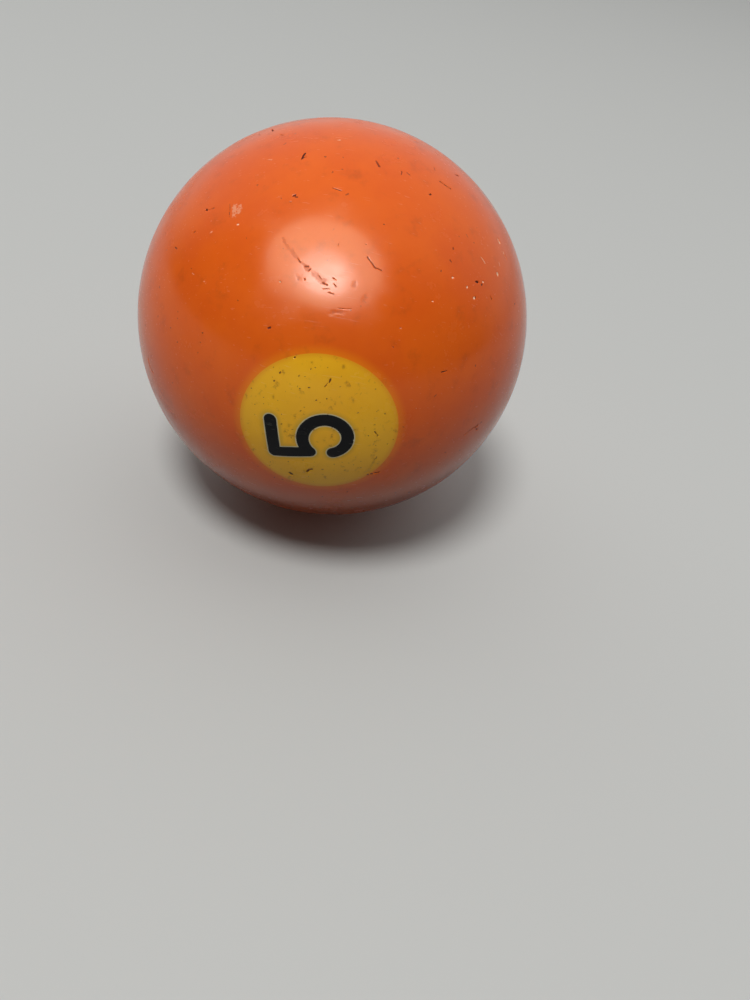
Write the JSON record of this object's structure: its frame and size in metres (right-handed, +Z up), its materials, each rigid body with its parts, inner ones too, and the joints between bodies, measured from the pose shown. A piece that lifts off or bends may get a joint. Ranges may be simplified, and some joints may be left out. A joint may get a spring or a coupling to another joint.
{
  "type": "pool ball",
  "caption": "Solid-coloured pool ball with a round number disc set flush into each of two opposite sides and an inlaid numeral in each disc.",
  "frame": {"origin": "centre of the ball", "axes": "+Z up, with the ball resting on its lowest point; the two number discs share the Y axis, and the front disc faces -Y"},
  "size_m": [0.0572, 0.0572, 0.0572],
  "materials": {
    "orange_resin": "gloss",
    "yellow_resin": "gloss",
    "black_resin": "gloss"
  },
  "bodies": {
    "root": {"ball_body": "orange_resin", "number_plug_front": "yellow_resin", "number_plug_back": "yellow_resin", "numeral_front": "black_resin", "numeral_back": "black_resin"}
  },
  "joints": []
}
